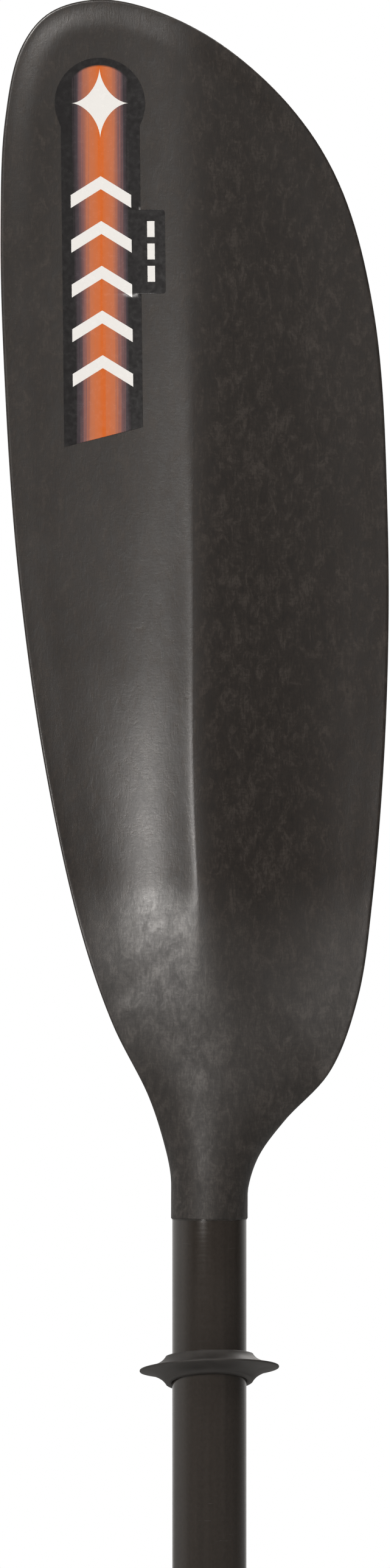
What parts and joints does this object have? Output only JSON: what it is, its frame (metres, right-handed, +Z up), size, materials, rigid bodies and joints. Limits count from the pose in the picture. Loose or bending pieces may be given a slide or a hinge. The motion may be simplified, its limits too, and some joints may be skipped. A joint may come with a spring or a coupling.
{
  "type": "kayak paddle",
  "caption": "Two-piece double-bladed touring kayak paddle: dihedral asymmetric blades, round tube shafts, drip rings and a lever-lock ferrule that sets length and feather.",
  "frame": {"origin": "on the shaft axis at the ferrule joint, halfway between the two blade tips, where the paddle is held", "axes": "+Z up the shaft towards the tip of the half with the male ferrule tube; +Y to the back of the blades, so that the power faces look to -Y; +X across the blades towards their cut-away edges"},
  "size_m": [0.1571, 0.0564, 2.1998],
  "materials": {
    "blade_nylon": "satin fibre-filled moulding",
    "label_film": "gloss film with a printed pattern",
    "shaft_laminate": "semi-gloss fibre laminate",
    "plug_foam": "closed-cell foam",
    "ring_rubber": "matt soft rubber",
    "ferrule_nylon": "fine-textured glass-filled nylon",
    "pale_plastic": "satin",
    "screw_steel": "brushed stainless"
  },
  "bodies": {
    "lower_half": {"lower_blade": "blade_nylon", "lower_blade_label": "label_film", "lower_shaft": "shaft_laminate", "lower_shaft_plug": "plug_foam", "wiper_seal": "ring_rubber", "clamp_collar": "ferrule_nylon", "clamp_screw": "screw_steel", "clamp_washer": "screw_steel", "cam_pad": "pale_plastic", "lever_pivot": "screw_steel"},
    "guide": {"guide_bush": "ferrule_nylon"},
    "upper_half": {"upper_blade": "blade_nylon", "upper_blade_label": "label_film", "upper_shaft": "shaft_laminate", "upper_shaft_plug": "plug_foam", "ferrule_insert": "ferrule_nylon", "length_scale": "pale_plastic", "insert_end_cap": "ring_rubber"},
    "lever": {"clamp_lever": "ferrule_nylon"},
    "upper_ring": {"upper_drip_ring": "ring_rubber"},
    "lower_ring": {"lower_drip_ring": "ring_rubber"}
  },
  "joints": [
    {"name": "length_slide", "type": "slide", "parent": "lower_half", "child": "guide", "axis": [0, 0, 1], "range_m": [0, 0.1]},
    {"name": "feather_turn", "type": "hinge", "parent": "guide", "child": "upper_half", "pos_m": [0, 0, 0], "axis": [0, 0, 1], "continuous": true},
    {"name": "lever_swing", "type": "hinge", "parent": "lower_half", "child": "lever", "pos_m": [0.023, -0.0151, -0.017], "axis": [0, 0, 1], "range_deg": [0, 120]},
    {"name": "upper_ring_slide", "type": "slide", "parent": "upper_half", "child": "upper_ring", "axis": [0, 0, 1], "range_m": [-0.25, 0.045]},
    {"name": "lower_ring_slide", "type": "slide", "parent": "lower_half", "child": "lower_ring", "axis": [0, 0, 1], "range_m": [-0.045, 0.25]}
  ]
}
